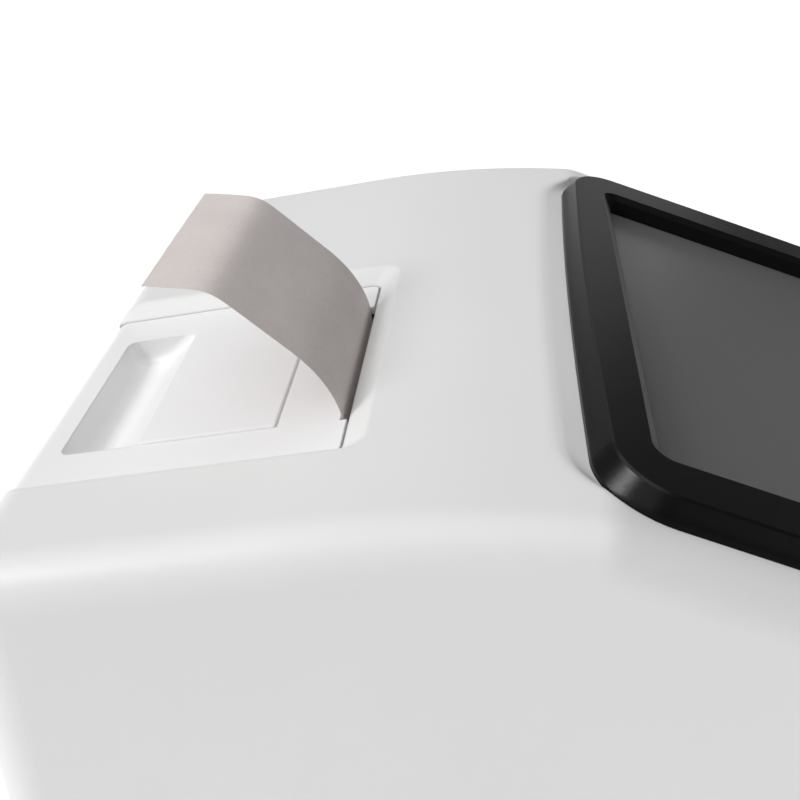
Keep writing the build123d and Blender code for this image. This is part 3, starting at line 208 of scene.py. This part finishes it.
def within(tree, ranges):
    """A node that gives 1 inside a box, with its x, y and z ranges in millimetres, and 0 outside"""
    place = add(tree, "ShaderNodeTexCoord")
    split = add(tree, "ShaderNodeSeparateXYZ")
    wire(place, "Object", split, "Vector")
    inside = None
    for axis, (low, high) in zip("XYZ", ranges):
        test = add(tree, "ShaderNodeMath", operation="COMPARE")
        test.inputs[1].default_value = (low + high) / 2 * MM
        test.inputs[2].default_value = (high - low) / 2 * MM
        wire(split, axis, test, 0)
        inside = joined_nodes("MULTIPLY", inside, test)
    return inside


def port_finish(name, colour, rough):
    """Nickel-plated sockets, with dark moulded plastic in the places of PORT_INSERTS"""
    mat = metal(name, colour, rough)
    tree = mat.node_tree
    shader = tree.nodes["Principled BSDF"]
    inserts = None
    for ranges in PORT_INSERTS:
        inserts = joined_nodes("MAXIMUM", inserts, within(tree, ranges))
    bare = add(tree, "ShaderNodeMath", operation="SUBTRACT")
    bare.inputs[0].default_value = 1.0
    wire(inserts, "Value", bare, 1)
    wire(bare, "Value", shader, "Metallic")
    plated = shader.inputs["Base Color"].links[0].from_node
    blend = add(tree, "ShaderNodeMix", data_type="RGBA")
    blend.inputs[MIX_SECOND].default_value = (*INSERT_COLOUR, 1)
    wire(inserts, "Value", blend, MIX_FACTOR)
    wire(plated, "Color", blend, MIX_FIRST)
    wire(blend, MIX_COLOUR, shader, "Base Color")
    return mat


def paper_finish(name, colour):
    """Paper or card: smooth face with faint fibres"""
    mat, shader = new_material(name)
    tree = mat.node_tree
    fibre = noise(mat, scale=900.0, detail=6.0, roughness=0.7)
    cloud = noise(mat, scale=60.0, detail=4.0)
    halved = add(tree, "ShaderNodeMath", operation="MULTIPLY")
    halved.inputs[1].default_value = 0.5
    wire(cloud, "Fac", halved, 0)
    blend = add(tree, "ShaderNodeMath", operation="MULTIPLY_ADD")
    blend.inputs[1].default_value = 0.5
    wire(fibre, "Fac", blend, 0)
    wire(halved, "Value", blend, 2)
    uneven_tone(blend, "Value", shader, colour, low=0.93, high=1.05, start=0.35, end=0.65)
    relief(fibre, shader, strength=0.2, distance=0.0001)
    shader.inputs["Roughness"].default_value = 0.48
    shader.inputs["Specular IOR Level"].default_value = 0.35
    return mat


def glass_finish(name, colour, rough):
    """Dark glass with a faint haze"""
    mat, shader = new_material(name)
    haze = noise(mat, scale=16.0, detail=1.0)
    uneven_gloss(haze, shader, rough, low=0.95, high=1.05)
    shader.inputs["Base Color"].default_value = (*colour, 1)
    shader.inputs["IOR"].default_value = 1.5
    return mat


finishes = {
    "housing": plastic("housing_white", (0.79, 0.792, 0.79), 0.42, 0.05, 0.9, 0.012, ease=0.0016),
    "cover": plastic("cover_white", (0.87, 0.87, 0.875), 0.40, 0.05, 0.9, 0.012, ease=0.0006),
    "bezel": plastic("bezel_black", (0.004, 0.0042, 0.0045), 0.30, 0.10, 0.8, 0.05, specular=0.27),
    "panel_glass": glass_finish("panel_glass_dark", (0.145, 0.142, 0.142), 0.26),
    "display": plastic("display_dark", (0.03, 0.03, 0.033), 0.3, 0.02, 0.5, 0.05),
    "foot_rubber": plastic("foot_rubber_black", (0.025, 0.025, 0.026), 0.75, 0.25, 0.7, 0.08),
    "screw_steel": metal("screw_zinc", (0.62, 0.62, 0.64), 0.32),
    "sheet_steel": metal("sheet_zinc", (0.66, 0.67, 0.68), 0.38, (1, 0.15, 1)),
    "shaft_steel": metal("shaft_ground", (0.70, 0.70, 0.71), 0.22, (8, 1, 1)),
    "gear_plastic": plastic("gear_acetal", (0.82, 0.80, 0.74), 0.38, 0.05, 0.8, 0.03),
    "dark_plastic": plastic("dark_moulding", (0.035, 0.036, 0.04), 0.5, 0.18, 0.7, 0.06),
    "bush_brass": metal("bush_brass_turned", (0.72, 0.55, 0.27), 0.3, (8, 1, 1)),
    "roller_rubber": plastic("roller_rubber_ground", (0.04, 0.04, 0.043), 0.7, 0.2, 0.5, 0.05),
    "motor_steel": metal("motor_can", (0.55, 0.56, 0.58), 0.35),
    "head_aluminium": metal("head_extrusion", (0.75, 0.76, 0.77), 0.36, (0.1, 1, 1)),
    "thermal_paper": paper_finish("thermal_paper_face", (0.78, 0.71, 0.69)),
    "core_card": paper_finish("core_card_brown", (0.45, 0.33, 0.21)),
    "tray_plastic": plastic("tray_white", (0.80, 0.80, 0.80), 0.42, 0.05, 0.9, 0.015),
    "insert_plastic": plastic("insert_grey", (0.06, 0.063, 0.07), 0.45, 0.15, 0.8, 0.04),
    "tile": plastic("tile_white", (0.86, 0.86, 0.85), 0.3, 0.03, 0.5, 0.01),
    "window": glass_finish("window_clear", (0.10, 0.11, 0.12), 0.05),
    "board": plastic("board_green", (0.02, 0.13, 0.055), 0.3, 0.1, 0.6, 0.1, coat=0.4),
    "port_metal": port_finish("port_nickel", (0.72, 0.72, 0.72), 0.2),
}

slots = {entry["node"]: entry["material_slot"] for entry in frame["record"]["subparts"]}
for name, obj in frame["nodes"].items():
    obj.data.materials.clear()
    obj.data.materials.append(finishes[slots[name]])


def in_scene(name, data):
    """An object with this data, linked to the scene"""
    obj = bpy.data.objects.new(name, data)
    bpy.context.scene.collection.objects.link(obj)
    return obj


def mesh_object(name, bm, material):
    """A finished mesh as an object with its material"""
    mesh = bpy.data.meshes.new(name)
    bm.to_mesh(mesh)
    bm.free()
    mesh.materials.append(material)
    return in_scene(name, mesh)


def mesh_piece(name, bm, slot, body):
    """A smooth mesh as a piece that rides on a body"""
    obj = mesh_object(name, bm, finishes[slot])
    for face in obj.data.polygons:
        face.use_smooth = True
    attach(obj, body)
    return obj


def smooth_line(points, steps):
    """An evenly bending line from the first point to the last, close to those between"""
    line = []
    ends = [points[0]] * 2 + points + [points[-1]] * 2
    for i in range(len(ends) - 3):
        a, b, c, d = (Vector(point) for point in ends[i:i + 4])
        for step in range(steps):
            t = step / steps
            line.append(((1 - t) ** 3 * a + (3 * t ** 3 - 6 * t ** 2 + 4) * b
                         + (1 + 3 * t + 3 * t ** 2 - 3 * t ** 3) * c + t ** 3 * d) / 6)
    line.append(Vector(points[-1]))
    return line


def web_line():
    """The web's side view: off the roll, round the feed roller, up through the notch and back in a curl"""
    across = FEED - ROLL
    along = across.normalized()
    share = (ROLL_REACH - FEED_REACH) / across.length
    side = (1 - share * share) ** 0.5
    normal = Vector((share * along.x - side * along.y, share * along.y + side * along.x))
    start = ROLL + normal * ROLL_REACH
    touch = FEED + normal * FEED_REACH
    line = [start.lerp(touch, k / ROLL_STEPS) for k in range(ROLL_STEPS)]
    turn = normal.angle_signed(Vector((-1, 0)))
    for k in range(TURN_STEPS):
        angle = turn * k / TURN_STEPS
        way = Vector((normal.x * cos(angle) + normal.y * sin(angle),
                      normal.y * cos(angle) - normal.x * sin(angle)))
        line.append(FEED + way * FEED_REACH)
    front = FEED.x - FEED_REACH
    rising = [(front, FEED.y), (front, NOTCH_Z - CURL_START)]
    rising += [(NOTCH_Y + back, NOTCH_Z + up) for back, up in CURL]
    return line + smooth_line(rising, CURL_STEPS)


def wave(free, i, u):
    """How far the web stands off its line at step i and at u across, growing with its free length"""
    edge = EDGE_WAVE * (2 * u) ** 2 * sin(i * 0.09 + 1.0 + 2.4 * u)
    return free * (edge + MIDDLE_WAVE * sin(7.0 * u + i * 0.05))


def torn_end(j, u):
    """How far the torn end reaches past its line at step j, which is at u across"""
    return TEAR * sin(j * 2.1) * sin(j * 0.77 + 0.6) - TORN_CORNER * (2 * abs(u)) ** 8


def web_points(bm):
    """The web's corner points, as rows along it of pairs through its thickness"""
    line = web_line()
    count = len(line)
    grid = []
    for i, spot in enumerate(line):
        ahead = line[min(i + 1, count - 1)] - line[max(i - 1, 0)]
        ahead.normalize()
        out = Vector((-ahead.y, ahead.x))
        free = max(0.0, (i - count * FREE_FROM) / (count * (1 - FREE_FROM)))
        row = []
        for j in range(ACROSS + 1):
            u = j / ACROSS - 0.5
            tear = torn_end(j, u) if i == count - 1 else 0.0
            at = spot + out * wave(free, i, u) + ahead * tear
            x = COVER_X + u * PAPER_WIDTH
            pair = []
            for way in (-0.5, 0.5):
                put = at + out * (way * PAPER_THICK)
                pair.append(bm.verts.new(Vector((x, put.x, put.y)) * MM))
            row.append(pair)
        grid.append(row)
    return grid


def paper_web():
    """The paper as one thin sheet with a torn free end and a faint wave along its edges"""
    bm = bmesh.new()
    grid = web_points(bm)
    last = len(grid) - 1
    for i in range(last):
        near, far = grid[i], grid[i + 1]
        for j in range(ACROSS):
            for layer in (0, 1):
                bm.faces.new([near[j][layer], far[j][layer], far[j + 1][layer], near[j + 1][layer]])
        for j in (0, ACROSS):
            bm.faces.new([near[j][0], near[j][1], far[j][1], far[j][0]])
    for i in (0, last):
        for j in range(ACROSS):
            bm.faces.new([grid[i][j][0], grid[i][j + 1][0], grid[i][j + 1][1], grid[i][j][1]])
    bmesh.ops.recalc_face_normals(bm, faces=bm.faces)
    obj = mesh_piece("paper_web", bm, "thermal_paper", "machine")
    obj.data.set_sharp_from_angle(angle=radians(SHARP_ANGLE))
    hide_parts("paper_strip")


def stage_floor():
    """Plain white floor"""
    bm = bmesh.new()
    bmesh.ops.create_grid(bm, x_segments=1, y_segments=1, size=FLOOR_SIZE)
    mat, shader = new_material("floor_white")
    shader.inputs["Base Color"].default_value = (FLOOR_TONE, FLOOR_TONE, FLOOR_TONE, 1)
    shader.inputs["Roughness"].default_value = 0.9
    shader.inputs["Emission Color"].default_value = (1, 1, 1, 1)
    shader.inputs["Emission Strength"].default_value = FLOOR_GLOW
    obj = mesh_object("floor", bm, mat)


def facing(way):
    """The turn of a light or camera that looks along a direction"""
    return way.to_track_quat("-Z", "Y").to_euler()


def area_light(name, place, size, power):
    """A square soft light that faces the machine"""
    data = bpy.data.lights.new(name, "AREA")
    data.shape = "SQUARE"
    data.size = size
    data.energy = power
    obj = in_scene(name, data)
    obj.location = place
    obj.rotation_euler = facing(Vector(MIDDLE) - Vector(place))


def sun_light(name, way, power, spread):
    """Even light from one direction, with soft shadows, the same all over the floor"""
    data = bpy.data.lights.new(name, "SUN")
    data.energy = power
    data.angle = radians(spread)
    obj = in_scene(name, data)
    obj.rotation_euler = facing(-Vector(way))


def studio_world():
    """White for the camera, and only a little light from all around"""
    world = bpy.data.worlds.new("studio")
    bpy.context.scene.world = world
    world.use_nodes = True
    tree = world.node_tree
    background = tree.nodes["Background"]
    background.inputs["Color"].default_value = (1, 1, 1, 1)
    glow = add(tree, "ShaderNodeMapRange", To_Min=ROOM_LIGHT)
    seen = add(tree, "ShaderNodeLightPath")
    wire(seen, "Is Camera Ray", glow, "Value")
    wire(glow, "Result", background, "Strength")


def studio_camera():
    """The camera at the photo's viewpoint"""
    data = bpy.data.cameras.new("camera")
    data.lens = FOCAL
    data.sensor_width = SENSOR
    data.clip_start = NEAREST
    camera = in_scene("camera", data)
    camera.location = EYE
    camera.rotation_euler = facing(LOOK)
    bpy.context.scene.camera = camera


paper_web()
stage_floor()
sun_light("key", way=(-1.1, 3.0, 2.2), power=1.5, spread=22)
sun_light("top", way=(-0.2, 1.1, 3.7), power=1.65, spread=75)
area_light("left", place=(-2.8, 1.2, 1.1), size=1.6, power=6)
area_light("side", place=(2.7, 0.1, 1.1), size=2.4, power=7)
studio_world()
bpy.context.scene.view_settings.view_transform = "Standard"
studio_camera()

bpy.context.view_layer.update()
